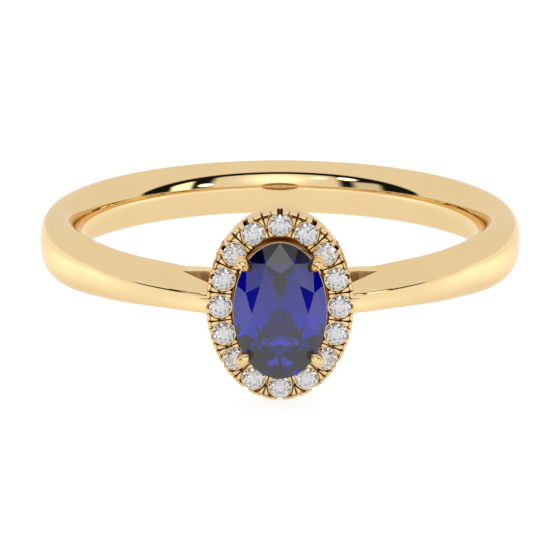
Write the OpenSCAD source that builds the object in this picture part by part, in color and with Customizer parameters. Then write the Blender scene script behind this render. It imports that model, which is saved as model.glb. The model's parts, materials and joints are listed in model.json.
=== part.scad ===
// Engagement ring: a court band whose pinched shoulders rise to an oval halo head.
// A finger rail closes the circle under the head, which is a claw-set oval stone in a
// ring of small round stones. Z is the axis of the finger hole, the origin is its centre,
// and the head faces -Y. A height in the head is a distance from that axis.

/* [Finger hole] */
// Inner diameter, the finger size
finger_d = 18.14; // [17.5:0.01:18.8]
// Straight part of the finger surface, along the finger
land_w = 0.8; // [0.6:0.1:1]

/* [Band] */
// Width of the band along the finger
band_w = 2.5; // [2.3:0.1:2.7]
// Thickness of the band
band_t = 1.77; // [1.6:0.01:1.9]
// Roundness of the finger side: 2 is an ellipse, more is squarer
inner_power = 2.05; // [2:0.05:2.6]
// Roundness of the outer side: 2 is an ellipse, more is squarer
outer_power = 2.65; // [2:0.05:3]

/* [Shoulders] */
// Width of a shoulder along the finger
shoulder_w = 1.96; // [1.8:0.01:2.1]
// How much a shoulder is narrowed on each side, where it meets the head
neck_in = 0.17; // [0.1:0.01:0.2]
// Width of the ridge that a shoulder is pinched to
ridge_w = 0.82; // [0.7:0.01:0.9]
// Distance from the finger surface to the ridge, at the head
ridge_rise = 3; // [2.9:0.01:3.05]
// Angle off the head where the pinch starts
pinch_angle = 71.5; // [66:0.5:76]
// Angle off the head where the ridge starts to rise
rise_angle = 54; // [50:0.5:57]
// Angle off the head where pinch and rise are complete
full_angle = 13; // [12:0.5:15]

/* [Finger rail] */
// Thickness of the rail that passes under the head
rail_t = 1.03; // [0.9:0.01:1.1]
// Angle off the head where rail and shoulder part
fork_angle = 24.6; // [24:0.1:25.5]

/* [Centre stone] */
// Width of the oval stone
stone_w = 3.95; // [3.9:0.01:4]
// Length of the oval stone
stone_l = 5.92; // [5.88:0.01:5.96]
// Height of the stone's girdle above the finger surface
stone_lift = 3.81; // [3.78:0.01:3.9]
// Height of the crown above the girdle
crown_h = 0.5; // [0.4:0.01:0.54]
// Depth of the pavilion below the girdle
pavilion_h = 1.72; // [1.6:0.01:1.75]
// Thickness of the girdle
girdle_t = 0.08; // [0.06:0.01:0.1]
// Table size as a part of the girdle
table_ratio = 0.6; // [0.55:0.01:0.62]

/* [Halo] */
// Width of the halo
halo_w = 6.26; // [6.22:0.01:6.3]
// Length of the halo
halo_l = 8.32; // [8.28:0.01:8.36]
// Width of the opening in the halo
halo_open_w = 3.94; // [3.9:0.01:3.96]
// Length of the opening in the halo
halo_open_l = 5.94; // [5.9:0.01:5.96]
// Height of the halo's front face above the finger surface
halo_lift = 3.01; // [2.98:0.01:3.03]
// Depth of the halo's wall
halo_depth = 0.96; // [0.9:0.01:1]

/* [Small stones] */
// Diameter of a small stone
melee_d = 0.95; // [0.9:0.01:0.96]
// Width of the oval that the small stones follow
orbit_w = 5.07; // [5.05:0.01:5.09]
// Length of the oval that the small stones follow
orbit_l = 7.07; // [7.05:0.01:7.09]

/* [Claws] */
// Diameter of a claw at its tip
claw_d = 0.5; // [0.4:0.01:0.5]
// Diameter of a claw's shaft
shaft_d = 0.4; // [0.3:0.01:0.4]
// Direction of a claw from the stone's centre, from the ring's plane
claw_angle = 54.7; // [54:0.1:56]

/* [Hidden] */
MELEE_COUNT = 16;
CLAW_COUNT = 4;
$fn = 96;

// Finger hole and band: the liner holds the finger surface, and the band starts just above it
finger_r = finger_d / 2;
liner_t = 0.3;
band_start = 0.05;
inner_steps = 6;
outer_steps = 9;
shoulder_steps = 22;
back_steps = 30;
shoulder_end = 8;
back_turn = 360 - 2 * pinch_angle;

// Pinched section: a low crown on the ridge, a crease, and a slanted side below it. The crown
// is higher and the crease is softer near the head: the values are [away from it, at it]
pinch_start = 0.15;
crown_rise = [0.03, 0.16];
crease = [14, 4];
rounding = [17, 30];
neck = [14, 36];
rise_soft = 0.15;

// Finger rail and the gap under each shoulder
rail_r = finger_r + rail_t;
space_h = 4;
fork_deep = 1;
underside_knee = [2.9, 10.62];
underside_end = [2.35, 10.9];
above_head = 16;

// Heights of the head
girdle_mid = finger_r + stone_lift;
halo_front = finger_r + halo_lift;
halo_back = halo_front - halo_depth;

// Oval outlines
oval_points = 72;

// Base rail: an oval ring of square wire that sits on the finger rail
base_rail_size = [1, 1.5];
base_rail_wire = 0.5;
base_rail_top = rail_r + 0.5;

// Centre collet: the ring that the stone's pavilion rests on
seat_gap = 0.02;
collet_edge = 0.07;
collet_lip_h = 0.6;
collet_wall_in = 0.1;
collet_h = 1.5;
collet_seat_h = 0.56;
collet_hole = 0.695;

// Cut of the stones, as parts of the girdle
star_ratio = 0.79;
lower_ratio = 0.24;
facets = 8;
girdle_points = 32;
melee_crown_h = 0.15 * melee_d;
melee_pavilion_h = 0.43 * melee_d;
melee_girdle_t = 0.03;
melee_table_ratio = 0.57;
melee_mid = halo_front + 0.01;

// Seats, slots and beads of the halo
seat_clear = 0.01;
hole_r = 0.3;
slot_w = 0.31;
slot_depth = 0.42;
slit_w = 0.06;
slit_depth = 0.3;
bead_r = 0.14;
outer_bead_out = 0.42;
outer_bead_side = 0.17;
inner_bead_in = 0.3;

// Claw path: distance from the stone's axis, and height from the stone's girdle
claw_path = [
    [1.265, -2.28], [1.4, -1.85], [1.8, -1.4], [2.19, -0.78],
    [2.46, -0.4], [2.7, -0.06], [2.61, 0.19], [2.33, 0.3]
];
claw_sides = 16;
claw_steps_per_span = 4;
claw_round_rings = 4;
wide_from = -1;
wide_to = -0.2;

function smooth(a, b, x) =
    let (q = min(max((x - a) / (b - a), 0), 1)) q * q * (3 - 2 * q);
// From 1 at a to 0 at b, along a straight line with rounded ends
function eased(a, b, x) =
    let (q = min(max((b - x) / (b - a), 0), 1))
    let (straight = 1 - rise_soft)
    let (curve = 2 * rise_soft * straight)
    q < rise_soft ? q * q / curve
        : q > straight ? 1 - (1 - q) * (1 - q) / curve
        : (q - rise_soft / 2) / straight;
function polar(r, angle) = [r * sin(angle), -r * cos(angle)];
function reversed(list) = [for (i = [len(list) - 1:-1:0]) list[i]];

// ---- band and shoulders ----

// Half width of the rounded band at s, which runs from 0 at the finger to 1 outside
function court(s) =
    s < 0.5 ? pow(1 - pow(1 - 2 * s, inner_power), 1 / inner_power)
            : pow(1 - pow(2 * s - 1, outer_power), 1 / outer_power);
// Half width of the pinched shoulder at s: a low crown, a crease and a slanted side
function pinched(s, shoulder, thick, crown, crisp) =
    let (ridge = ridge_w / 2)
    let (side = ridge + (shoulder - ridge) * (1 - s) / (1 - pinch_start))
    let (top = ridge * sqrt((1 - s) * thick / crown))
    s < pinch_start ? court(s) * shoulder
        : s >= 1 ? 0 : pow(pow(side, -crisp) + pow(top, -crisp), -1 / crisp);
// Shares of the thickness, close together near the finger and on the crown
shares = concat(
    [for (i = [2:inner_steps - 1]) (1 - cos(90 * i / inner_steps)) / 2],
    [for (i = [0:outer_steps]) 1 - pow(1 - i / outer_steps, 3) / 2]
);
// Half of the section at an angle off the head: [radius, half width] from just outside the
// finger surface, which the liner makes, to the outside
function half_section(angle) =
    let (pinch = 1 - smooth(full_angle, pinch_angle, angle))
    let (thick = band_t + (ridge_rise - band_t) * eased(full_angle, rise_angle, angle))
    let (near_head = 1 - smooth(rounding[0], rounding[1], angle))
    let (crown = crown_rise[0] + (crown_rise[1] - crown_rise[0]) * near_head)
    let (crisp = crease[0] + (crease[1] - crease[0]) * near_head)
    let (shoulder = shoulder_w / 2 - neck_in * (1 - smooth(neck[0], neck[1], angle)))
    concat(
        [[finger_r + band_start, land_w / 2]],
        [for (s = shares)
            let (slanted = pinched(s, shoulder, thick, crown, crisp))
            let (half = (1 - pinch) * court(s) * band_w / 2 + pinch * slanted)
            [finger_r + s * thick, s == 1 ? 0 : s < 0.5 ? max(half, land_w / 2) : half]]
    );
// The whole section as a closed outline
function section(half) =
    concat(half, [for (p = reversed(half)) if (p[1] > 0) [p[0], -p[1]]]);

// Faces of a solid made of closed rings of points, with flat ends
function sweep_faces(rings, sides) = concat(
    [[for (j = [0:sides - 1]) j]],
    [for (i = [0:rings - 2]) for (j = [0:sides - 1])
        let (k = (j + 1) % sides)
        [i * sides + j, (i + 1) * sides + j, (i + 1) * sides + k, i * sides + k]],
    [[for (j = [sides - 1:-1:0]) (rings - 1) * sides + j]]
);

// The band with both shoulders, swept round the finger from one shoulder's end to the other's
module swept_band() {
    near = [for (i = [0:shoulder_steps])
        shoulder_end + (pinch_angle - shoulder_end) * i / shoulder_steps];
    back = [for (i = [1:back_steps - 1]) pinch_angle + back_turn * i / back_steps];
    angles = concat(near, back, [for (a = reversed(near)) 360 - a]);
    sections = [for (a = angles) section(half_section(min(a, 360 - a)))];
    points = [for (i = [0:len(angles) - 1]) for (p = sections[i])
        let (place = polar(p[0], angles[i])) [place[0], place[1], p[1]]];
    polyhedron(points, sweep_faces(len(angles), len(sections[0])), convexity = 8);
}

// The finger surface: a true cylinder from fork to fork, as wide as the band's straight part
module liner() {
    rotate([0, 0, fork_angle - 90])
        rotate_extrude(angle = 360 - 2 * fork_angle, convexity = 4)
            translate([finger_r, -land_w / 2]) square([liner_t, land_w]);
}

// Room under the shoulders: the finger rail, the fork and the space below the halo
module under_head_space() {
    side = [
        polar(finger_r - fork_deep, fork_angle),
        polar(rail_r, fork_angle),
        [underside_knee[0], -underside_knee[1]],
        [underside_end[0], -underside_end[1]],
        [underside_end[0], -above_head]
    ];
    linear_extrude(space_h, center = true)
        polygon(concat(side, [for (p = reversed(side)) [-p[0], p[1]]]));
}

module shank() {
    color("goldenrod")
    difference() {
        union() {
            swept_band();
            liner();
        }
        under_head_space();
        in_head(halo_back) linear_extrude(above_head - halo_back) oval(halo_w, halo_l);
    }
}

module finger_rail() {
    half = half_section(fork_angle);
    rail_half = concat(
        [[finger_r, land_w / 2]],
        [for (p = half) if (p[0] < rail_r) p],
        [[rail_r, lookup(rail_r, half)]]
    );
    color("gold")
    rotate([0, 0, -90 - fork_angle])
        rotate_extrude(angle = 2 * fork_angle, convexity = 4)
            polygon(section(rail_half));
}

// ---- head ----

// Puts a shape drawn in the plane of the stone at a height in the head
module in_head(height) {
    rotate([90, 0, 0]) translate([0, 0, height]) children();
}

function oval_at(width, length, angle) = [width / 2 * cos(angle), length / 2 * sin(angle)];

module oval(width, length) {
    polygon([for (i = [0:oval_points - 1]) oval_at(width, length, 360 * i / oval_points)]);
}

// An oval ring from a closed profile of [width, length, height] points
module oval_ring(profile) {
    count = len(profile);
    points = [for (p = profile) for (i = [0:oval_points - 1])
        let (q = oval_at(p[0], p[1], 360 * i / oval_points)) [q[0], q[1], p[2]]];
    faces = [for (c = [0:count - 1]) for (i = [0:oval_points - 1])
        let (next = (c + 1) % count)
        let (k = (i + 1) % oval_points)
        [c * oval_points + i, next * oval_points + i, next * oval_points + k, c * oval_points + k]];
    polyhedron(points, faces, convexity = 6);
}

module base_rail() {
    outer = 2 * base_rail_size + [base_rail_wire, base_rail_wire];
    inner = 2 * base_rail_size - [base_rail_wire, base_rail_wire];
    color("gold")
    difference() {
        in_head(rail_r - base_rail_wire)
            linear_extrude(base_rail_top - rail_r + base_rail_wire)
                difference() {
                    oval(outer[0], outer[1]);
                    oval(inner[0], inner[1]);
                }
        cylinder(r = rail_r, h = space_h, center = true);
    }
}

// Where the pavilion's side is at a depth below the girdle, with a gap to it
function seat(depth) =
    let (part = 1 - depth / pavilion_h)
    [stone_w * part + 2 * seat_gap, stone_l * part + 2 * seat_gap];

module centre_collet() {
    top = girdle_mid - girdle_t / 2 - seat_gap;
    lip = [stone_w + 2 * collet_edge, stone_l + 2 * collet_edge];
    wall = lip - 2 * [collet_wall_in, collet_wall_in];
    hole = collet_hole * [stone_w, stone_l];
    seat_top = seat(seat_gap);
    seat_low = seat(3 * seat_gap);
    color("gold")
    difference() {
        in_head(0) oval_ring([
            [lip[0], lip[1], top],
            [seat_top[0], seat_top[1], top],
            [seat_low[0], seat_low[1], top - 2 * seat_gap],
            [hole[0], hole[1], top - collet_seat_h],
            [hole[0], hole[1], top - collet_h],
            [wall[0], wall[1], top - collet_h],
            [wall[0], wall[1], top - collet_lip_h]
        ]);
        for (i = [1:CLAW_COUNT]) plain_claw(i);
    }
}

// Distance along the small stones' oval, for each degree from the top
arc_table = [for (
    i = 0, s = 0;
    i <= 360;
    s = s + norm(oval_at(orbit_w, orbit_l, 89 - i) - oval_at(orbit_w, orbit_l, 90 - i)), i = i + 1
) [s, 90 - i]];
orbit_length = arc_table[360][0];

// Moves a shape to a share of the way round, with its X along the oval's outward normal
module on_orbit(share) {
    angle = lookup(share * orbit_length, arc_table);
    place = oval_at(orbit_w, orbit_l, angle);
    facing = atan2(sin(angle) / orbit_l, cos(angle) / orbit_w);
    translate([place[0], place[1], 0]) rotate([0, 0, facing]) children();
}

module melee_seat() {
    cone_h = melee_pavilion_h * (1 - hole_r / (melee_d / 2));
    base = melee_mid - melee_girdle_t / 2 - seat_clear;
    cylinder(r = hole_r, h = above_head);
    translate([0, 0, base - cone_h])
        cylinder(r1 = hole_r, r2 = melee_d / 2 + seat_clear, h = cone_h);
    translate([0, 0, base]) cylinder(r = melee_d / 2 + seat_clear, h = 1);
}

module halo_plate() {
    color("gold")
    in_head(0)
    difference() {
        union() {
            translate([0, 0, halo_back])
                linear_extrude(halo_depth)
                    difference() {
                        oval(halo_w, halo_l);
                        oval(halo_open_w, halo_open_l);
                    }
            for (i = [0:MELEE_COUNT - 1]) on_orbit((i + 0.5) / MELEE_COUNT) {
                for (side = [-1, 1])
                    translate([outer_bead_out, side * outer_bead_side, halo_front])
                        sphere(r = bead_r);
                translate([-inner_bead_in, 0, halo_front]) sphere(r = bead_r);
            }
        }
        for (i = [0:MELEE_COUNT - 1]) {
            on_orbit(i / MELEE_COUNT) {
                melee_seat();
                translate([0, -slot_w / 2, halo_front - slot_depth]) cube([1, slot_w, 1]);
            }
            on_orbit((i + 0.5) / MELEE_COUNT)
                translate([outer_bead_out / 2, -slit_w / 2, halo_front - slit_depth])
                    cube([1, slit_w, 1]);
        }
    }
}

// ---- claws ----

// A point of the curve through four path points, a share of the way from b to c
function curve(a, b, c, d, q) =
    0.5 * (2 * b + (c - a) * q + (2 * a - 5 * b + 4 * c - d) * q * q
        + (3 * b - a - 3 * c + d) * q * q * q);
claw_spans = len(claw_path) - 1;
claw_line = concat(
    [for (i = [0:claw_spans - 1]) for (j = [0:claw_steps_per_span - 1])
        curve(claw_path[max(i - 1, 0)], claw_path[i], claw_path[i + 1],
            claw_path[min(i + 2, claw_spans)], j / claw_steps_per_span)],
    [claw_path[claw_spans]]
);
claw_last = len(claw_line) - 1;

// Direction of the claw at a ring: straight up at the foot
function claw_heading(i) =
    i == 0 ? [0, 1] :
    let (step = claw_line[min(i + 1, claw_last)] - claw_line[i - 1]) step / norm(step);
// Radius of the claw at a ring: thicker above the halo, rounded off at the tip
function claw_radius(i) =
    let (wide = shaft_d / 2 + (claw_d - shaft_d) / 2 * smooth(wide_from, wide_to, claw_line[i][1]))
    let (left = (claw_last - i + 0.25) / claw_round_rings)
    left >= 1 ? wide : wide * sqrt(1 - (1 - left) * (1 - left));

// Direction of each claw from the stone's centre
function claw_turn(number) =
    [claw_angle, 180 - claw_angle, 180 + claw_angle, -claw_angle][number - 1];

module plain_claw(number) {
    points = [for (i = [0:claw_last]) for (j = [0:claw_sides - 1])
        let (a = 360 * j / claw_sides)
        let (heading = claw_heading(i))
        let (r = claw_radius(i))
        [
            claw_line[i][0] + r * cos(a) * heading[1],
            r * sin(a),
            girdle_mid + claw_line[i][1] - r * cos(a) * heading[0]
        ]];
    in_head(0) rotate([0, 0, claw_turn(number)])
        polyhedron(points, sweep_faces(claw_last + 1, claw_sides), convexity = 6);
}

// The notch that is filed in a claw for the stone's girdle and crown, with a gap to them
module claw_notch(number) {
    turn = claw_turn(number);
    at = atan2(sin(turn) / stone_l, cos(turn) / stone_w);
    edge = oval_at(stone_w, stone_l, at);
    facing = atan2(sin(at) / stone_l, cos(at) / stone_w);
    crown_run = (1 - table_ratio) * edge * [cos(facing), sin(facing)];
    side = girdle_t / 2 + seat_gap;
    in_head(girdle_mid)
        translate([edge[0], edge[1], 0]) rotate([0, 0, facing]) rotate([90, 0, 0])
            linear_extrude(2 * claw_d, center = true)
                polygon([
                    [seat_gap, -side], [seat_gap, side],
                    [-crown_run, side + crown_h], [-crown_run, -side]
                ]);
}

module claw(number) {
    color("khaki")
    difference() {
        plain_claw(number);
        claw_notch(number);
    }
}

// ---- stones ----

// Points of one level of a stone, as an oval scaled by ratio
function level(width, length, ratio, height, count, start) =
    [for (i = [0:count - 1])
        let (q = oval_at(width * ratio, length * ratio, start + 360 * i / count))
        [q[0], q[1], height]];

// A brilliant cut with its girdle's middle at height 0: the convex shape around its corners
module cut_stone(width, length, table, crown, girdle, pavilion) {
    half_step = 180 / facets;
    star_share = (1 - star_ratio * cos(half_step)) / (1 - table);
    lower_share = 1 - lower_ratio * cos(half_step);
    corners = concat(
        level(width, length, table, girdle / 2 + crown, facets, 0),
        level(width, length, star_ratio, girdle / 2 + crown * star_share, facets, half_step),
        level(width, length, 1, girdle / 2, girdle_points, 0),
        level(width, length, 1, -girdle / 2, girdle_points, 0),
        level(width, length, lower_ratio, -girdle / 2 - pavilion * lower_share, facets, half_step),
        [[0, 0, -girdle / 2 - pavilion]]
    );
    hull() polyhedron(corners, [for (i = [2:len(corners) - 1]) [0, i - 1, i]]);
}

module centre_sapphire() {
    color("mediumblue")
    in_head(girdle_mid)
        cut_stone(stone_w, stone_l, table_ratio, crown_h, girdle_t, pavilion_h);
}

module halo_diamond(number) {
    color("white")
    in_head(melee_mid) on_orbit((number - 1) / MELEE_COUNT)
        cut_stone(
            melee_d, melee_d, melee_table_ratio, melee_crown_h, melee_girdle_t, melee_pavilion_h
        );
}

shank();
finger_rail();
base_rail();
centre_collet();
halo_plate();
centre_sapphire();
for (i = [1:CLAW_COUNT]) claw(i);
for (i = [1:MELEE_COUNT]) halo_diamond(i);
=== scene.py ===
import json
import math

import bmesh
import bpy
from mathutils import Matrix, Vector


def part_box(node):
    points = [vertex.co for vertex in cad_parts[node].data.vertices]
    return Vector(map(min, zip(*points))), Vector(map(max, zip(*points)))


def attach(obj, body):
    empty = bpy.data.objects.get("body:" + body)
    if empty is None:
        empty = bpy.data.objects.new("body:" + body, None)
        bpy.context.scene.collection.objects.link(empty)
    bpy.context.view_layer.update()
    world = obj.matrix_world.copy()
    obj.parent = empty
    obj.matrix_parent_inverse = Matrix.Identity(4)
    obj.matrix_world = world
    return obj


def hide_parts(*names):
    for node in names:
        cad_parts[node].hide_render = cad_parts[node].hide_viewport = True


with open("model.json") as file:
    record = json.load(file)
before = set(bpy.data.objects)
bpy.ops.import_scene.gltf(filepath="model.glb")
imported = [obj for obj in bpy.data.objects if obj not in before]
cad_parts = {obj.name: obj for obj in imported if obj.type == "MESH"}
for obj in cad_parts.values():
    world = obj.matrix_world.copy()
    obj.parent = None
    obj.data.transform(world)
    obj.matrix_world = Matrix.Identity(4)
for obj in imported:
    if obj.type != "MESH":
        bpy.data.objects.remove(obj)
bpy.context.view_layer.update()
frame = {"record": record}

# Looks of the engagement ring. Shapes are worked out in millimetres and turned into metres
# as each mesh is made. Z is the axis of the finger hole and the head faces -Y.
# In the head, x and y lie in the stone's plane and h is the distance from the finger's axis.

MM = 0.001


# ---- sizes that come from the frame ----

def box_mm(node):
    """Lowest and highest corner of a CAD node, in millimetres."""
    low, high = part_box(node)
    return low / MM, high / MM


def mount_radius():
    """Radius of the finger hole, from the record's mount."""
    for mount in frame["record"]["mounts"]:
        if mount["name"] == "finger_hole":
            return mount["dims"]["r_mm"]
    raise ValueError("the record has no mount named finger_hole")


SHANK_LOW, SHANK_HIGH = box_mm("shank")
RAIL_LOW, RAIL_HIGH = box_mm("finger_rail")
STONE_LOW, STONE_HIGH = box_mm("centre_sapphire")
HALO_LOW, HALO_HIGH = box_mm("halo_plate")
COLLET_LOW, COLLET_HIGH = box_mm("centre_collet")
TOP_MELEE_LOW, TOP_MELEE_HIGH = box_mm("halo_diamond_1")
SIDE_MELEE_LOW, SIDE_MELEE_HIGH = box_mm("halo_diamond_5")
BASE_LOW, BASE_HIGH = box_mm("base_rail")

FINGER_R = mount_radius()
BAND_T = SHANK_HIGH.y - FINGER_R
BAND_W = SHANK_HIGH.z - SHANK_LOW.z
RAIL_R = -RAIL_LOW.y

# ---- band and shoulders ----
SHOULDER_W = 1.96
NECK = (14, 36)
NECK_IN = 0.17
RIDGE_W = 0.84
RIDGE_RISE = 3.0
PINCH_ANGLE = 71.5
RISE_ANGLE = 54
RISE_SOFT = 0.15
FULL_ANGLE = 13
ROUNDING = (20, 34)
CROWN = (0.03, 0.04)
CRISP = (7, 16)
SHOULDER_END = 8
INNER_POWER = 2.05
OUTER_POWER = 2.65
PINCH_START = 0.15
FORK_ANGLE = 24.6
FORK_DEEP = 1
RAIL_CROWN = 0.35
RAIL_FADE = 5
RAIL_STATIONS = 72
UNDERSIDE = [(2.9, 10.62), (2.35, 10.9)]
ABOVE_HEAD = 16
INNER_STEPS = 16
OUTER_STEPS = 30
BAND_STATIONS = 420
SHARP_ANGLE = math.radians(28)

# ---- centre stone ----
STONE_W = STONE_HIGH.x - STONE_LOW.x
STONE_L = STONE_HIGH.z - STONE_LOW.z
CROWN_H = 0.5
PAVILION_H = 1.72
GIRDLE_T = 0.08
TABLE_RATIO = 0.6
STAR_RATIO = 0.79
LOWER_RATIO = 0.24
FACETS = 8
STONE_SIDES = 96
GIRDLE_MID = -STONE_LOW.y - CROWN_H - GIRDLE_T / 2

# ---- halo ----
HALO_W = HALO_HIGH.x - HALO_LOW.x
HALO_L = HALO_HIGH.z - HALO_LOW.z
HALO_OPEN_W = 3.94
HALO_OPEN_L = 5.94
HALO_DEPTH = 0.96
HALO_BACK = -HALO_HIGH.y
HALO_FRONT = HALO_BACK + HALO_DEPTH
MELEE_COUNT = 16
MELEE_D = TOP_MELEE_HIGH.x - TOP_MELEE_LOW.x
MELEE_CROWN_H = 0.15 * MELEE_D
MELEE_PAVILION_H = 0.43 * MELEE_D
MELEE_GIRDLE_T = 0.03
MELEE_TABLE = 0.57
MELEE_MID = HALO_FRONT + 0.01
# The plate's outline from its outer edge to its opening: (distance in, height above the front).
HALO_PROFILE = [
    (0.0, -HALO_DEPTH), (0.0, -0.11), (0.02, -0.04), (0.06, 0.0), (0.12, 0.0), (0.15, -0.04),
    (0.17, -0.2), (1.03, -0.2), (1.05, -0.11), (1.09, -0.08), (1.13, -0.10), (1.166, -0.16),
    (1.166, -HALO_DEPTH),
]
HALO_POINTS = 256
# Cuts through the rim: (places along each small stone's share, width, depth, where they start).
RIM_SLOTS = [((0,), 0.24, 0.5, 0.2), ((0.5,), 0.1, 0.34, 0.3), ((0.25, 0.75), 0.06, 0.16, 0.45)]
# Raised metal between the stones: height, and an outline of (outward, along) points.
PETAL = (0.10, [(0.03, 0.012), (0.28, 0.016), (0.42, 0.04), (0.45, 0.13), (0.42, 0.25), (0.22, 0.14)])
POST = (0.09, [(-0.11, 0.012), (-0.45, 0.014), (-0.48, 0.14), (-0.38, 0.18), (-0.2, 0.1)])
GRAIN_ROOT = 0.3
ORBIT_W = SIDE_MELEE_HIGH.x + SIDE_MELEE_LOW.x
ORBIT_L = TOP_MELEE_HIGH.z + TOP_MELEE_LOW.z

# ---- claws ----
CLAW_D = 0.5
SHAFT_D = 0.4
CLAW_ANGLE = 53.4
# Places on a claw: (distance from the middle of the head, height above the girdle).
CLAW_PATH = [
    (1.265, -2.28), (1.4, -1.85), (1.8, -1.4), (2.19, -0.78), (2.5, -0.4), (2.68, -0.12), (2.72, 0.12),
]
# The pointed end and the groove along it, with a radius at each place.
CLAW_END = [
    (2.92, 0.1, 0.04), (2.9, 0.12, 0.12), (2.85, 0.15, 0.19), (2.77, 0.18, 0.235), (2.67, 0.2, 0.25),
    (2.56, 0.22, 0.245), (2.45, 0.23, 0.215), (2.35, 0.23, 0.165), (2.26, 0.22, 0.1), (2.2, 0.2, 0.03),
]
CLAW_GROOVE = [
    (2.64, 0.5, 0.01), (2.58, 0.46, 0.08), (2.5, 0.43, 0.11), (2.41, 0.39, 0.1), (2.34, 0.35, 0.06),
    (2.3, 0.33, 0.01),
]
CLAW_SIDES = 32
UPPER_CLAWS = (1, 2)
CLAW_STEPS = 10

OVAL_POINTS = 192


# ---- helpers ----

def smooth(a, b, x):
    q = min(max((x - a) / (b - a), 0), 1)
    return q * q * (3 - 2 * q)


def polar(r, angle):
    """A point of the ring's plane at an angle off the head."""
    a = math.radians(angle)
    return r * math.sin(a), -r * math.cos(a)


def head(x, y, h):
    """A point of the head in the ring's own frame."""
    return Vector((x, -h, y))


def oval_at(width, length, angle):
    a = math.radians(angle)
    return width / 2 * math.cos(a), length / 2 * math.sin(a)


def new_piece(name, points, faces):
    """A mesh object, still in millimetres."""
    mesh = bpy.data.meshes.new(name)
    mesh.from_pydata([tuple(p) for p in points], [], faces)
    mesh.validate()
    piece = bpy.data.objects.new(name, mesh)
    bpy.context.scene.collection.objects.link(piece)
    return piece


def turn_outward(bm):
    """Turns all faces of a closed mesh outward."""
    bmesh.ops.recalc_face_normals(bm, faces=bm.faces)
    if bm.calc_volume(signed=True) < 0:
        bmesh.ops.reverse_faces(bm, faces=bm.faces)


def outward(piece):
    bm = bmesh.new()
    bm.from_mesh(piece.data)
    turn_outward(bm)
    bm.to_mesh(piece.data)
    bm.free()


def apply_modifiers(piece):
    depsgraph = bpy.context.evaluated_depsgraph_get()
    mesh = bpy.data.meshes.new_from_object(piece.evaluated_get(depsgraph))
    piece.modifiers.clear()
    old = piece.data
    piece.data = mesh
    bpy.data.meshes.remove(old)


def carve(piece, cutter, overlapping=False):
    """Cuts another object out of a piece and deletes it. Its own parts may overlap."""
    modifier = piece.modifiers.new("carve", "BOOLEAN")
    modifier.operation = "DIFFERENCE"
    modifier.solver = "EXACT"
    modifier.use_self = overlapping
    modifier.object = cutter
    apply_modifiers(piece)
    bpy.data.objects.remove(cutter)


def join(piece, others):
    """Adds the meshes of other objects to a piece."""
    bm = bmesh.new()
    bm.from_mesh(piece.data)
    for other in others:
        bm.from_mesh(other.data)
        bpy.data.objects.remove(other)
    bm.to_mesh(piece.data)
    bm.free()


def finish_piece(piece, material, nodes, smooth_shaded=True):
    """Turns a piece into metres, shades it and ties it to the frame."""
    piece.data.transform(Matrix.Scale(MM, 4))
    if smooth_shaded:
        piece.data.shade_smooth()
        piece.data.set_sharp_from_angle(angle=SHARP_ANGLE)
    piece.data.materials.clear()
    piece.data.materials.append(material)
    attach(piece, "root")
    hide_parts(*nodes)
    return piece


def loft(name, rings, closed=False):
    """A solid through rings of points. It has flat ends unless it closes on itself."""
    sides = len(rings[0])
    points = [p for ring in rings for p in ring]
    faces = []
    spans = len(rings) if closed else len(rings) - 1
    for i in range(spans):
        a = i * sides
        b = (i + 1) % len(rings) * sides
        for j in range(sides):
            k = (j + 1) % sides
            faces.append((a + j, b + j, b + k, a + k))
    if not closed:
        faces.append(tuple(range(sides)))
        faces.append(tuple(range(len(points) - 1, len(points) - sides - 1, -1)))
    piece = new_piece(name, points, faces)
    outward(piece)
    return piece


def oval_ring(name, profile, points=OVAL_POINTS):
    """An oval ring from a closed profile of (width, length, height)."""
    rings = []
    for i in range(points):
        ring = []
        for width, length, height in profile:
            x, y = oval_at(width, length, 360 * i / points)
            ring.append(head(x, y, height))
        rings.append(ring)
    return loft(name, rings, closed=True)


def prism(name, outline, low, high, place=head):
    """A straight prism on an outline, from one height to another."""
    return loft(name, [[place(x, y, h) for x, y in outline] for h in (low, high)])


# ---- materials ----

RAMP_ENDS = (0.35, 0.65)
PATCH_SCALE = 260
POLISH_STRENGTH = 0.012
POLISH_DEPTH = 0.02 * MM
HOLLOW_REACH = 0.975
HOLLOW_SOFT = 0.005
# Colour of the painted shade in the hollows, and the grazing-angle tints of gold and of that painted
# shade.
HOLLOW_PAINTED_SHADE = (0.38, 0.24, 0.10)
GOLD_EDGE = (0.93, 0.86, 0.75)
HOLLOW_PAINTED_SHADE_EDGE = (0.30, 0.16, 0.07)


def new_material(name):
    material = bpy.data.materials.new(name)
    material.use_nodes = True
    tree = material.node_tree
    return material, tree, tree.nodes["Principled BSDF"]


def coordinates(tree, kind):
    return tree.nodes.new("ShaderNodeTexCoord").outputs[kind]


def axes(tree, kind):
    """The three parts of a coordinate."""
    split = tree.nodes.new("ShaderNodeSeparateXYZ")
    tree.links.new(coordinates(tree, kind), split.inputs[0])
    return [split.outputs[axis] for axis in "XYZ"]


def noise(tree, scale, detail):
    """Noise in the object's own coordinates, with the scale in features a metre."""
    node = tree.nodes.new("ShaderNodeTexNoise")
    node.inputs["Scale"].default_value = scale
    node.inputs["Detail"].default_value = detail
    tree.links.new(coordinates(tree, "Object"), node.inputs["Vector"])
    return node.outputs["Fac"]


def ramp(tree, factor, low, high):
    """One colour where the factor is low, another where it is high."""
    node = tree.nodes.new("ShaderNodeValToRGB")
    for element, place, colour in zip(node.color_ramp.elements, RAMP_ENDS, (low, high)):
        element.position = place
        element.color = (*colour, 1)
    tree.links.new(factor, node.inputs["Fac"])
    return node.outputs["Color"]


def spread(tree, factor, low, high):
    """The factor, stretched from one value to another."""
    node = tree.nodes.new("ShaderNodeMapRange")
    node.inputs["To Min"].default_value = low
    node.inputs["To Max"].default_value = high
    tree.links.new(factor, node.inputs["Value"])
    return node.outputs["Result"]


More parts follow.
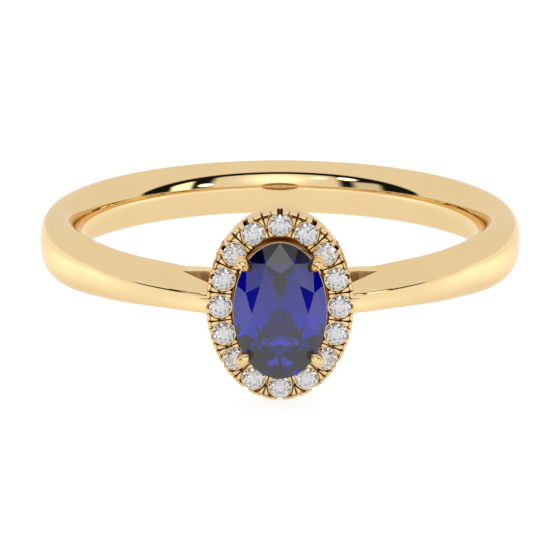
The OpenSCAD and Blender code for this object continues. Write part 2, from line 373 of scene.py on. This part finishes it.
class Lights:
    """Adds up soft-edged lights out of math nodes."""

    def __init__(self, tree):
        self.tree = tree

    def math(self, operation, *values):
        node = self.tree.nodes.new("ShaderNodeMath")
        node.operation = operation
        for socket, value in zip(node.inputs, values):
            if isinstance(value, (int, float)):
                socket.default_value = value
            else:
                self.tree.links.new(value, socket)
        return node.outputs[0]

    def step(self, value, low, high):
        """0 below low and 1 above high, with a smooth change between them."""
        node = self.tree.nodes.new("ShaderNodeMapRange")
        node.interpolation_type = "SMOOTHSTEP"
        node.inputs["From Min"].default_value = low
        node.inputs["From Max"].default_value = high
        self.tree.links.new(value, node.inputs["Value"])
        return node.outputs["Result"]

    def inside(self, across, rise, radius, soft):
        """1 within a radius of the middle, with a soft edge."""
        squares = self.math(
            "ADD", self.math("MULTIPLY", across, across), self.math("MULTIPLY", rise, rise))
        edge = self.step(self.math("SQRT", squares), max(radius - soft, 0), radius + soft)
        return self.math("SUBTRACT", 1.0, edge)

    def seen(self):
        """1 for what the camera sees directly, 0 for reflections and light."""
        return self.tree.nodes.new("ShaderNodeLightPath").outputs["Is Camera Ray"]

    def total(self, lights):
        """Sum of (mask, strength) pairs."""
        result = 0.0
        for mask, strength in lights:
            result = self.math("ADD", result, self.math("MULTIPLY", mask, strength))
        return result


def gold_material(name, tone, warm, rough_low, rough_high, polish_scale):
    """Polished gold: two close tones, and fine traces of polishing."""
    material, tree, shader = new_material(name)
    shader.inputs["Metallic"].default_value = 1.0
    shader.inputs["Specular Tint"].default_value = (*GOLD_EDGE, 1)
    patches = noise(tree, PATCH_SCALE, 3)
    tree.links.new(ramp(tree, patches, tone, warm), shader.inputs["Base Color"])
    traces = noise(tree, polish_scale, 4)
    tree.links.new(spread(tree, traces, rough_low, rough_high), shader.inputs["Roughness"])
    bump = tree.nodes.new("ShaderNodeBump")
    bump.inputs["Strength"].default_value = POLISH_STRENGTH
    bump.inputs["Distance"].default_value = POLISH_DEPTH
    tree.links.new(traces, bump.inputs["Height"])
    tree.links.new(bump.outputs["Normal"], shader.inputs["Normal"])
    return material


def mixed_colour(tree, factor, bright, dark):
    """A mix from a bright colour or socket to a dark colour."""
    mix = tree.nodes.new("ShaderNodeMix")
    mix.data_type = "RGBA"
    first, second = [socket for socket in mix.inputs if socket.type == "RGBA"]
    tree.links.new(factor, mix.inputs[0])
    if isinstance(bright, tuple):
        first.default_value = (*bright, 1)
    else:
        tree.links.new(bright, first)
    second.default_value = (*dark, 1)
    return [socket for socket in mix.outputs if socket.type == "RGBA"][0]


def paint_shade_in_hollows(material, front, depths):
    """Painted shade: deep warm brown, and a dark grazing tint, where metal lies below its front,
    inside the halo's outer wall.
    """
    tree = material.node_tree
    shader = tree.nodes["Principled BSDF"]
    lights = Lights(tree)
    x, y, z = axes(tree, "Object")
    start, end = ((depth - front) * MM for depth in depths)
    sunk = lights.step(y, start, end)
    across = lights.math("DIVIDE", x, HALO_W / 2 * MM)
    rise = lights.math("DIVIDE", z, HALO_L / 2 * MM)
    within = lights.inside(across, rise, HOLLOW_REACH, HOLLOW_SOFT)
    shaded = lights.math("MULTIPLY", sunk, within)
    tone = shader.inputs["Base Color"].links[0].from_socket
    # Mixes painted shade into the base colour and into the grazing tint.
    tree.links.new(mixed_colour(tree, shaded, tone, HOLLOW_PAINTED_SHADE), shader.inputs["Base Color"])
    tree.links.new(
        mixed_colour(tree, shaded, GOLD_EDGE, HOLLOW_PAINTED_SHADE_EDGE), shader.inputs["Specular Tint"])


def stone_material(name, ior, clear, clouded, absorbed, density, zoning_scale):
    """Clear cut stone with faint zones of colour, which takes up light on the way through."""
    material, tree, shader = new_material(name)
    shader.inputs["Transmission Weight"].default_value = 1.0
    shader.inputs["Roughness"].default_value = 0.0
    shader.inputs["IOR"].default_value = ior
    zones = noise(tree, zoning_scale, 2)
    tree.links.new(ramp(tree, zones, clear, clouded), shader.inputs["Base Color"])
    volume = tree.nodes.new("ShaderNodeVolumeAbsorption")
    volume.inputs["Color"].default_value = (*absorbed, 1)
    volume.inputs["Density"].default_value = density
    tree.links.new(volume.outputs["Volume"], tree.nodes["Material Output"].inputs["Volume"])
    return material


BAND_GOLD = gold_material(
    "band_gold", (0.81, 0.61, 0.33), (0.79, 0.59, 0.31), 0.03, 0.06, 9000)
# Painted light: the rail's gold is a lighter copy of the band's gold, so the rail in the shaded gap
# under the head reads lit. It is also rougher.
RAIL_LIT_GOLD = gold_material(
    "rail_lit_gold", (0.87, 0.68, 0.40), (0.84, 0.64, 0.36), 0.30, 0.38, 9000)
SETTING_GOLD = gold_material(
    "setting_gold", (0.81, 0.61, 0.32), (0.76, 0.55, 0.27), 0.04, 0.09, 14000)
HALO_GOLD = gold_material(
    "halo_gold", (0.79, 0.61, 0.35), (0.74, 0.55, 0.29), 0.04, 0.09, 14000)
# Painted shade in the halo's sunk channel, seats and cuts.
paint_shade_in_hollows(HALO_GOLD, HALO_FRONT, (0.04, 0.16))
COLLET_GOLD = gold_material(
    "collet_gold", (0.81, 0.61, 0.32), (0.76, 0.55, 0.27), 0.04, 0.09, 14000)
# Painted shade on the collet below its lip.
paint_shade_in_hollows(COLLET_GOLD, -COLLET_LOW.y, (0.05, 0.14))
SAPPHIRE = stone_material(
    "sapphire", 1.77, (0.10, 0.10, 0.92), (0.06, 0.06, 0.84), (0.05, 0.05, 0.69), 900, 500)
DIAMOND = stone_material(
    "diamond", 2.42, (1.0, 1.0, 1.0), (0.95, 0.95, 0.96), (0.1, 0.1, 0.11), 430, 2600)


# ---- band and shoulders ----

def court(s):
    """Half width of the rounded band at s, from 0 at the finger to 1 outside."""
    power = INNER_POWER if s < 0.5 else OUTER_POWER
    return (1 - abs(1 - 2 * s) ** power) ** (1 / power)


def eased(a, b, x):
    """From 1 at a to 0 at b along a straight line with rounded ends."""
    q = min(max((b - x) / (b - a), 0), 1)
    straight = 1 - RISE_SOFT
    if q < RISE_SOFT:
        return q * q / (2 * RISE_SOFT * straight)
    if q > straight:
        return 1 - (1 - q) ** 2 / (2 * RISE_SOFT * straight)
    return (q - RISE_SOFT / 2) / straight


def pinched(s, shoulder, thick, crown, crisp):
    """Half width of the pinched shoulder at s: a low crown, a crease and a slanted side."""
    if s < PINCH_START:
        return court(s) * shoulder
    if s >= 1:
        return 0
    ridge = RIDGE_W / 2
    side = ridge + (shoulder - ridge) * (1 - s) / (1 - PINCH_START)
    top = ridge * math.sqrt((1 - s) * thick / crown)
    return (side ** -crisp + top ** -crisp) ** (-1 / crisp)


def section_shares():
    """Shares of the thickness from 0 to 1, close together at the finger and on the crown."""
    inner = [(1 - math.cos(math.pi / 2 * i / INNER_STEPS)) / 2 for i in range(INNER_STEPS)]
    outer = [1 - (1 - i / OUTER_STEPS) ** 3 / 2 for i in range(OUTER_STEPS + 1)]
    return inner + outer


def section(angle, top=None):
    """The closed outline of the band at an angle off the head, as (radius, height) points."""
    pinch = 1 - smooth(FULL_ANGLE, PINCH_ANGLE, angle)
    thick = BAND_T + (RIDGE_RISE - BAND_T) * eased(FULL_ANGLE, RISE_ANGLE, angle)
    near_head = 1 - smooth(*ROUNDING, angle)
    crown = CROWN[0] + (CROWN[1] - CROWN[0]) * near_head
    crisp = CRISP[0] + (CRISP[1] - CRISP[0]) * near_head
    shoulder = SHOULDER_W / 2 - NECK_IN * (1 - smooth(*NECK, angle))
    limit = 1 if top is None else (top - FINGER_R) / thick
    half = []
    for share in section_shares():
        s = limit * share
        slanted = pinched(s, shoulder, thick, crown, crisp)
        width = (1 - pinch) * court(s) * BAND_W / 2 + pinch * slanted
        half.append((FINGER_R + s * thick, width))
    left = [(r, -z) for r, z in reversed(half) if z > 0]
    return half + left


def make_shank():
    """The band and its shoulders, less the fork under the head and room for the halo."""
    step = (360 - 2 * SHOULDER_END) / BAND_STATIONS
    rings = []
    for i in range(BAND_STATIONS + 1):
        angle = SHOULDER_END + i * step
        outline = section(min(angle, 360 - angle))
        rings.append([(*polar(r, angle), z) for r, z in outline])
    shank = loft("gold_shank", rings)
    side = [polar(FINGER_R - FORK_DEEP, FORK_ANGLE), polar(RAIL_R, FORK_ANGLE)]
    side += [(x, -h) for x, h in UNDERSIDE]
    side.append((UNDERSIDE[-1][0], -ABOVE_HEAD))
    fork = side + [(-x, y) for x, y in reversed(side)]
    carve(shank, prism("fork", fork, -BAND_W, BAND_W, lambda x, y, h: (x, y, h)))
    oval = [oval_at(HALO_W, HALO_L, 360 * i / OVAL_POINTS) for i in range(OVAL_POINTS)]
    carve(shank, prism("halo_room", oval, HALO_BACK, ABOVE_HEAD))
    return finish_piece(shank, BAND_GOLD, ["shank"])


def make_finger_rail():
    """The arc that closes the finger hole under the head. Its outer face is crowned."""
    half = RAIL_HIGH.z
    rings = []
    for i in range(RAIL_STATIONS + 1):
        angle = -FORK_ANGLE + 2 * FORK_ANGLE * i / RAIL_STATIONS
        fade = 1 - smooth(FORK_ANGLE - RAIL_FADE, FORK_ANGLE, abs(angle))
        ring = []
        for r, z in section(FORK_ANGLE, RAIL_R):
            share = (r - FINGER_R) / (RAIL_R - FINGER_R)
            drop = RAIL_CROWN * fade * share * (z / half) ** 2
            ring.append((*polar(r - drop, angle), z))
        rings.append(ring)
    rail = loft("gold_finger_rail", rings)
    return finish_piece(rail, RAIL_LIT_GOLD, ["finger_rail"])


# ---- head ----

def make_base_rail():
    """Oval ring of square wire whose underside follows the finger rail."""
    top = -BASE_LOW.y
    wire = 0.5
    width = BASE_HIGH.x - BASE_LOW.x
    length = BASE_HIGH.z - BASE_LOW.z
    edge = 0.06
    rings = []
    for i in range(OVAL_POINTS):
        angle = 360 * i / OVAL_POINTS
        outer = oval_at(width, length, angle)
        inner = oval_at(width - 2 * wire, length - 2 * wire, angle)
        across = Vector(outer) - Vector(inner)
        lip = across.normalized() * edge
        shoulder_out = Vector(outer) - lip
        shoulder_in = Vector(inner) + lip
        ring = [
            head(*outer, math.sqrt(RAIL_R ** 2 - outer[0] ** 2)),
            head(*outer, top - edge),
            head(*shoulder_out, top),
            head(*shoulder_in, top),
            head(*inner, top - edge),
            head(*inner, math.sqrt(RAIL_R ** 2 - inner[0] ** 2)),
        ]
        rings.append(ring)
    rail = loft("gold_base_rail", rings, closed=True)
    return finish_piece(rail, SETTING_GOLD, ["base_rail"])


def make_collet():
    """The cup that the pavilion rests in: an outer lip, a straight wall and a slanted seat."""
    top = -COLLET_LOW.y
    tuck = 0.11
    lip_w = COLLET_HIGH.x - COLLET_LOW.x - tuck
    lip_l = COLLET_HIGH.z - COLLET_LOW.z - tuck
    gap = 0.02
    edge = 0.02
    wall_in = 0.1
    wall_top = top - 0.6
    bottom = -COLLET_HIGH.y
    foot = 0.695
    foot_h = top - 0.56
    seat = [(STONE_W * (1 - d / PAVILION_H) + 2 * gap, STONE_L * (1 - d / PAVILION_H) + 2 * gap)
            for d in (gap, 3 * gap)]
    profile = [
        (lip_w, lip_l, top - edge),
        (lip_w - edge, lip_l - edge, top),
        (*seat[0], top),
        (*seat[1], top - 2 * gap),
        (STONE_W * foot, STONE_L * foot, foot_h),
        (STONE_W * foot, STONE_L * foot, bottom),
        (lip_w - 2 * wall_in, lip_l - 2 * wall_in, bottom),
        (lip_w - 2 * wall_in, lip_l - 2 * wall_in, wall_top),
    ]
    collet = oval_ring("gold_collet", profile)
    return finish_piece(collet, COLLET_GOLD, ["centre_collet"])


def arc_table():
    """Distance along the small stones' oval, for each degree from the top."""
    table = [0.0]
    for i in range(360):
        a = Vector(oval_at(ORBIT_W, ORBIT_L, 90 - i))
        b = Vector(oval_at(ORBIT_W, ORBIT_L, 89 - i))
        table.append(table[-1] + (a - b).length)
    return table


ARC = arc_table()


def on_orbit(share):
    """Place and outward direction at a share of the way round from the top, clockwise."""
    goal = share % 1 * ARC[-1]
    i = max(j for j in range(360) if ARC[j] <= goal)
    angle = 90 - i - (goal - ARC[i]) / (ARC[i + 1] - ARC[i])
    place = Vector(oval_at(ORBIT_W, ORBIT_L, angle))
    a = math.radians(angle)
    facing = Vector((math.cos(a) / ORBIT_W, math.sin(a) / ORBIT_L)).normalized()
    return place, facing


def orbit_place(share):
    """Turns (outward, along, height) into a point of the ring's frame."""
    place, facing = on_orbit(share)
    along = Vector((-facing.y, facing.x))

    def at(out, side, h):
        p = place + facing * out + along * side
        return head(p.x, p.y, h)

    return at


def tapered(name, at, outline, levels):
    """A solid on an outline, drawn in towards its middle level by level: (scale, height)."""
    middle = [sum(p[i] for p in outline) / len(outline) for i in (0, 1)]
    rings = []
    for scale, h in levels:
        rings.append([at(middle[0] + (x - middle[0]) * scale,
                         middle[1] + (y - middle[1]) * scale, h) for x, y in outline])
    return loft(name, rings)


def disc(radius, sides=40, middle=(0, 0)):
    turn = 2 * math.pi / sides
    return [(middle[0] + radius * math.cos(i * turn), middle[1] + radius * math.sin(i * turn))
            for i in range(sides)]


def seat_cutter(share):
    at = orbit_place(share)
    hole = 0.3
    clear = 0.01
    radius = MELEE_D / 2 + clear
    cone = MELEE_PAVILION_H * (1 - hole / (MELEE_D / 2))
    base = MELEE_MID - MELEE_GIRDLE_T / 2 - clear
    levels = [(hole / radius, HALO_BACK - 1), (hole / radius, base - cone), (1, base), (1, base + 1)]
    return tapered("seat", at, disc(radius), levels)


def slot_cutter(share, width, depth, start):
    """A cut through the rim, with a round bottom."""
    at = orbit_place(share)
    steps = 10
    arc = [(width / 2 * math.cos(math.pi * i / steps), -width / 2 * math.sin(math.pi * i / steps))
           for i in range(steps + 1)]
    bottom = HALO_FRONT - depth + width / 2
    outline = [(side, bottom + drop) for side, drop in arc]
    outline += [(-width / 2, HALO_FRONT + 1), (width / 2, HALO_FRONT + 1)]
    rings = [[at(out, side, h) for side, h in outline] for out in (start, 2)]
    return loft("slot", rings)


def seat_lip(share):
    """The bright collar cut round each small stone."""
    top = HALO_FRONT - 0.02
    collar = MELEE_D / 2 + 0.055
    levels = [(1, top - GRAIN_ROOT), (1, top - 0.02), (0.98, top)]
    return tapered("lip", orbit_place(share), disc(collar), levels)


def grain(share, side, top, outline):
    """A petal or a post with a rounded top, on one side of the middle between two stones."""
    levels = [(1, HALO_FRONT - GRAIN_ROOT), (1, HALO_FRONT + top - 0.08),
              (0.88, HALO_FRONT + top - 0.02), (0.66, HALO_FRONT + top)]
    mirrored = [(out, side * along) for out, along in outline]
    return tapered("grain", orbit_place(share), mirrored, levels)


def make_halo():
    """A plate with a sunk channel, collars round the stones, a notched rim and raised grains."""
    wall_w = (HALO_W - HALO_OPEN_W) / 2
    wall_l = (HALO_L - HALO_OPEN_L) / 2
    full = HALO_PROFILE[-1][0]
    profile = [(HALO_W - 2 * wall_w * inward / full, HALO_L - 2 * wall_l * inward / full,
                HALO_FRONT + h) for inward, h in HALO_PROFILE]
    halo = oval_ring("gold_halo_plate", profile, HALO_POINTS)
    stones = range(MELEE_COUNT)
    join(halo, [seat_lip(i / MELEE_COUNT) for i in stones])
    seats = [seat_cutter(i / MELEE_COUNT) for i in stones]
    join(seats[0], seats[1:])
    carve(halo, seats[0], overlapping=True)
    slots = [slot_cutter((i + place) / MELEE_COUNT, width, depth, start)
             for places, width, depth, start in RIM_SLOTS for i in stones for place in places]
    join(slots[0], slots[1:])
    carve(halo, slots[0], overlapping=True)
    join(halo, [grain((i + 0.5) / MELEE_COUNT, side, top, outline)
                for i in stones for top, outline in (PETAL, POST) for side in (1, -1)])
    return finish_piece(halo, HALO_GOLD, ["halo_plate"])


# ---- claws ----

def curve(a, b, c, d, q):
    """A point of the curve through four points, a share of the way from b to c."""
    a, b, c, d = (Vector(p) for p in (a, b, c, d))
    return 0.5 * (2 * b + (c - a) * q + (2 * a - 5 * b + 4 * c - d) * q * q
                  + (3 * b - a - 3 * c + d) * q ** 3)


def claw_line():
    last = len(CLAW_PATH) - 1
    line = []
    for i in range(last):
        before = CLAW_PATH[max(i - 1, 0)]
        after = CLAW_PATH[min(i + 2, last)]
        for j in range(CLAW_STEPS):
            line.append(curve(before, CLAW_PATH[i], CLAW_PATH[i + 1], after, j / CLAW_STEPS))
    line.append(Vector(CLAW_PATH[last]))
    return line


def claw_turn(number):
    return [CLAW_ANGLE, 180 - CLAW_ANGLE, 180 + CLAW_ANGLE, -CLAW_ANGLE][number - 1]


def claw_ring(point, heading, r, turn):
    """A ring of points round the claw's line."""
    ring = []
    for j in range(CLAW_SIDES):
        a = 2 * math.pi * j / CLAW_SIDES
        out = point.x + r * math.cos(a) * heading.y
        side = r * math.sin(a)
        h = GIRDLE_MID + point.y - r * math.cos(a) * heading.x
        x = out * math.cos(turn) - side * math.sin(turn)
        y = out * math.sin(turn) + side * math.cos(turn)
        ring.append(head(x, y, h))
    return ring


def inward_horn(name, places, turn):
    """A round body lying towards the stone, from (distance, height, radius) places."""
    rings = [claw_ring(Vector((out, h)), Vector((-1, 0)), r, turn) for out, h, r in places]
    return loft(name, rings)


def swept_claw(number):
    """Round wire along the claw's line, with a pointed end bent over the stone."""
    line = claw_line()
    last = len(line) - 1
    turn = math.radians(claw_turn(number))
    rings = []
    for i, point in enumerate(line):
        step = line[min(i + 1, last)] - line[max(i - 1, 0)]
        heading = Vector((0, 1)) if i == 0 else step.normalized()
        r = SHAFT_D / 2 + (CLAW_D - SHAFT_D) / 2 * smooth(-1, -0.2, point.y)
        rings.append(claw_ring(point, heading, r, turn))
    claw = loft(f"gold_claw_{number}", rings)
    join(claw, [inward_horn("claw_end", CLAW_END, turn)])
    return claw


def claw_notch(number):
    """The notch filed for the stone's girdle and crown."""
    turn = math.radians(claw_turn(number))
    at = math.atan2(math.sin(turn) / STONE_L, math.cos(turn) / STONE_W)
    edge = Vector(oval_at(STONE_W, STONE_L, math.degrees(at)))
    facing = Vector((math.cos(at) / STONE_W, math.sin(at) / STONE_L)).normalized()
    along = Vector((-facing.y, facing.x))
    gap = 0.02
    run = (1 - TABLE_RATIO) * edge.dot(facing)
    low = GIRDLE_MID - GIRDLE_T / 2 - gap
    high = GIRDLE_MID + GIRDLE_T / 2 + gap
    outline = [(gap, low), (gap, high), (-run, high + CROWN_H), (-run, low)]
    rings = []
    for side in (-CLAW_D, CLAW_D):
        ring = []
        for out, h in outline:
            p = edge + facing * out + along * side
            ring.append(head(p.x, p.y, h))
        rings.append(ring)
    return loft("notch", rings)


def make_claw(number):
    """The two upper claws also have a filed groove along the top of their ends."""
    claw = swept_claw(number)
    notch = claw_notch(number)
    if number in UPPER_CLAWS:
        groove = inward_horn("groove", CLAW_GROOVE, math.radians(claw_turn(number)))
        join(notch, [groove])
    carve(claw, notch, overlapping=True)
    return finish_piece(claw, SETTING_GOLD, [f"claw_{number}"])


# ---- stones ----

def plane_through(p, q, r):
    """Point and upward or downward normal of the plane through three points."""
    normal = (q - p).cross(r - p).normalized()
    return p, normal


def facet_planes(table, crown, girdle, pavilion):
    """Planes of a brilliant cut with a girdle radius of 1, the girdle's middle at height 0."""
    half_step = math.pi / FACETS
    star = STAR_RATIO
    star_h = girdle / 2 + crown * (1 - star * math.cos(half_step)) / (1 - table)
    lower_h = -girdle / 2 - pavilion * (1 - LOWER_RATIO * math.cos(half_step))

    def at(ratio, angle, h):
        return Vector((ratio * math.cos(angle), ratio * math.sin(angle), h))

    planes = [(Vector((0, 0, girdle / 2 + crown)), Vector((0, 0, 1)))]
    for i in range(FACETS):
        middle = 2 * half_step * i
        tip = middle + half_step
        sideways = Vector((-math.sin(middle), math.cos(middle), 0))
        for edge, apex in ((at(table, middle, girdle / 2 + crown), at(1, middle, girdle / 2)),
                           (Vector((0, 0, -girdle / 2 - pavilion)), at(1, middle, -girdle / 2))):
            planes.append(plane_through(edge, apex, apex + sideways))
        planes.append(plane_through(
            at(table, middle, girdle / 2 + crown),
            at(table, middle + 2 * half_step, girdle / 2 + crown), at(star, tip, star_h)))
        for side in (0, 2 * half_step):
            corner = middle + side
            planes.append(plane_through(
                at(star, tip, star_h), at(1, corner, girdle / 2), at(1, tip, girdle / 2)))
            planes.append(plane_through(
                at(LOWER_RATIO, tip, lower_h), at(1, corner, -girdle / 2), at(1, tip, -girdle / 2)))
    return planes


def cut_stone(name, width, length, heights, to_frame):
    """A brilliant cut stone: a fine oval cylinder, cut by the plane of every facet."""
    table, crown, girdle, pavilion = heights
    spare = 0.1
    outline = disc(1, STONE_SIDES)
    low = -girdle / 2 - pavilion - spare
    high = girdle / 2 + crown + spare
    stone = loft(name, [[(x, y, h) for x, y in outline] for h in (low, high)])
    bm = bmesh.new()
    bm.from_mesh(stone.data)
    for point, normal in facet_planes(table, crown, girdle, pavilion):
        if normal.dot(point) < 0:
            normal = -normal
        cut = bmesh.ops.bisect_plane(
            bm, geom=bm.verts[:] + bm.edges[:] + bm.faces[:], dist=1e-5,
            plane_co=point, plane_no=normal, clear_outer=True)
        edges = [e for e in cut["geom_cut"] if isinstance(e, bmesh.types.BMEdge)]
        bmesh.ops.contextual_create(bm, geom=edges)
    for v in bm.verts:
        v.co = to_frame(v.co.x * width / 2, v.co.y * length / 2, v.co.z)
    turn_outward(bm)
    bm.to_mesh(stone.data)
    bm.free()
    return stone


def make_sapphire():
    stone = cut_stone(
        "blue_sapphire", STONE_W, STONE_L, (TABLE_RATIO, CROWN_H, GIRDLE_T, PAVILION_H),
        lambda x, y, h: head(x, y, GIRDLE_MID + h))
    return finish_piece(stone, SAPPHIRE, ["centre_sapphire"], smooth_shaded=False)


def make_diamond(number):
    at = orbit_place((number - 1) / MELEE_COUNT)
    stone = cut_stone(
        f"clear_diamond_{number}", MELEE_D, MELEE_D,
        (MELEE_TABLE, MELEE_CROWN_H, MELEE_GIRDLE_T, MELEE_PAVILION_H),
        lambda x, y, h: at(x, y, MELEE_MID + h))
    return finish_piece(
        stone, DIAMOND, [f"halo_diamond_{number}"], smooth_shaded=False)


# ---- stage, light and camera ----

FLOOR_GAP = 0.02
FLOOR_SIZE = 900
FLOOR_GLOW = 0.79
FAR_GLOW = 0.08
# Places on the floor: (x, y, radius, soft edge), with a strength for each pool of light.
UNDER_RING = (0, -2, 17, 6)
FLOOR_POOLS = [((-28, 4, 9, 8), 0.38), ((28, 4, 9, 8), 0.38),
               ((-14, -22, 6, 6), 0.2), ((14, -22, 6, 6), 0.2)]
FLOOR_CARDS = [(-31, -56, 11, 3), (31, -56, 11, 3)]
# The wall's upper edge slopes away from the front. Each range is where it fades.
WALL_SLOPE = 1.2
WALL_EDGE = (-0.16, -0.06)
LAMP_EDGE = (0.12, 0.22)
WALL_GLOW = 0.01
CAMERA_ELEVATION = 14.62
CAMERA_DISTANCE = 188.3
CAMERA_AIM_Z = -1.995
CAMERA_LENS = 267.1


class Glow(Lights):
    """Pools of light on the floor, in millimetres from the finger hole's axis."""

    def __init__(self, tree):
        super().__init__(tree)
        self.x, self.y, _ = axes(tree, "Object")

    def pool(self, x, y, radius, soft):
        across = self.math("SUBTRACT", self.x, x * MM)
        rise = self.math("SUBTRACT", self.y, y * MM)
        return self.inside(across, rise, radius * MM, soft * MM)


class Sky(Lights):
    """The studio's brightness by the direction of a ray, as azimuth and elevation in degrees."""

    def __init__(self, tree):
        super().__init__(tree)
        x, y, self.up = axes(tree, "Generated")
        self.front = self.math("MULTIPLY", y, -1.0)
        self.azimuth = self.math("ARCTAN2", x, self.front)
        self.elevation = self.math("ARCSINE", self.up)

    def window(self, value, low, high, soft):
        """1 between two angles in degrees, with soft edges."""
        low, high, soft = (math.radians(v) for v in (low, high, soft))
        rising = self.step(value, low - soft, low + soft)
        past = self.step(value, high - soft, high + soft)
        return self.math("SUBTRACT", rising, past)

    def panel(self, azimuths, elevations, soft):
        return self.math(
            "MULTIPLY", self.window(self.azimuth, *azimuths, soft),
            self.window(self.elevation, *elevations, soft))

    def spot(self, azimuth, elevation, radius, soft):
        """1 inside a round spot, with a soft edge."""
        across = self.math("SUBTRACT", self.azimuth, math.radians(azimuth))
        across = self.math("MULTIPLY", across, math.cos(math.radians(elevation)))
        rise = self.math("SUBTRACT", self.elevation, math.radians(elevation))
        return self.inside(across, rise, math.radians(radius), math.radians(soft))


def make_floor():
    """A plain pale floor that glows more in some places. Its dark cards show only in reflections."""
    half = FLOOR_SIZE / 2
    z = HALO_LOW.z - FLOOR_GAP
    floor = new_piece(
        "floor", [(-half, -half, z), (half, -half, z), (half, half, z), (-half, half, z)],
        [(0, 1, 2, 3)])
    floor.data.transform(Matrix.Scale(MM, 4))
    material, tree, shader = new_material("pale_floor")
    paper = ramp(tree, noise(tree, 30, 2), (0.29, 0.29, 0.29), (0.31, 0.31, 0.31))
    shader.inputs["Roughness"].default_value = 0.9
    shader.inputs["Emission Color"].default_value = (1, 1, 1, 1)
    glow = Glow(tree)
    far = glow.math("SUBTRACT", 1.0, glow.pool(*UNDER_RING))
    pools = [(glow.pool(*place), strength) for place, strength in FLOOR_POOLS]
    strength = glow.total([(far, FAR_GLOW)] + pools)
    cards = glow.math("ADD", *[glow.pool(*place) for place in FLOOR_CARDS])
    cards = glow.math("MULTIPLY", cards, glow.math("SUBTRACT", 1.0, glow.seen()))
    bare = glow.math("SUBTRACT", 1.0, cards)
    strength = glow.math("ADD", strength, FLOOR_GLOW)
    strength = glow.math("MULTIPLY", strength, bare)
    covered = tree.nodes.new("ShaderNodeVectorMath")
    covered.operation = "SCALE"
    tree.links.new(paper, covered.inputs[0])
    tree.links.new(bare, covered.inputs["Scale"])
    tree.links.new(covered.outputs[0], shader.inputs["Base Color"])
    tree.links.new(strength, shader.inputs["Emission Strength"])
    floor.data.materials.append(material)


def make_world():
    """A white studio. In front, a dark wall under a sloping edge holds several lamps."""
    world = bpy.data.worlds.new("studio")
    bpy.context.scene.world = world
    world.use_nodes = True
    tree = world.node_tree
    sky = Sky(tree)
    below_edge = sky.math(
        "SUBTRACT", sky.math("MULTIPLY", sky.front, WALL_SLOPE), sky.up)
    wall = sky.math(
        "MULTIPLY", sky.step(below_edge, *WALL_EDGE), sky.window(sky.elevation, 4, 89, 1.5))
    wall = sky.math("MULTIPLY", wall, sky.window(sky.azimuth, -87, 87, 3))
    inside = sky.step(below_edge, *LAMP_EDGE)
    lamps = sky.math("MULTIPLY", inside, sky.total([
        (sky.panel((-35, 40), (0, 60), 3), 1.0),
        (sky.spot(2, 24, 14, 12), 0.9),
        (sky.panel((-61, -44), (0, 22), 3), 0.8),
        (sky.panel((53, 66), (0, 27), 2), 1.8),
        (sky.spot(-42, 31, 5, 2), 4.0),
        (sky.spot(-24, 30, 4, 2), 1.5),
        (sky.spot(44, 12, 4, 2), 4.0),
    ]))
    lamps = sky.math("ADD", lamps, WALL_GLOW)
    open_part = sky.math("SUBTRACT", 1.0, wall)
    studio = sky.math("ADD", open_part, sky.math("MULTIPLY", lamps, wall))
    seen = sky.seen()
    strength = sky.math("MULTIPLY", studio, sky.math("SUBTRACT", 1.0, seen))
    strength = sky.math("ADD", strength, seen)
    background = tree.nodes["Background"]
    background.inputs["Color"].default_value = (1, 1, 1, 1)
    tree.links.new(strength, background.inputs["Strength"])


def make_camera():
    camera = bpy.data.cameras.new("camera")
    camera.lens = CAMERA_LENS
    camera.sensor_width = 36
    camera.clip_start = 0.01
    camera.clip_end = 10
    holder = bpy.data.objects.new("camera", camera)
    bpy.context.scene.collection.objects.link(holder)
    elevation = math.radians(CAMERA_ELEVATION)
    aim = Vector((0, 0, CAMERA_AIM_Z))
    away = Vector((0, -math.cos(elevation), math.sin(elevation)))
    holder.location = (aim + away * CAMERA_DISTANCE) * MM
    holder.rotation_euler = (-away).to_track_quat("-Z", "Y").to_euler()
    bpy.context.scene.camera = holder


make_camera()
make_world()
make_floor()
make_shank()
make_finger_rail()
make_base_rail()
make_collet()
make_halo()
for claw_number in range(1, 5):
    make_claw(claw_number)
make_sapphire()
for stone_number in range(1, MELEE_COUNT + 1):
    make_diamond(stone_number)

scene = bpy.context.scene
scene.view_settings.view_transform = "Standard"
scene.cycles.max_bounces = 24
scene.cycles.glossy_bounces = 16
scene.cycles.transmission_bounces = 24
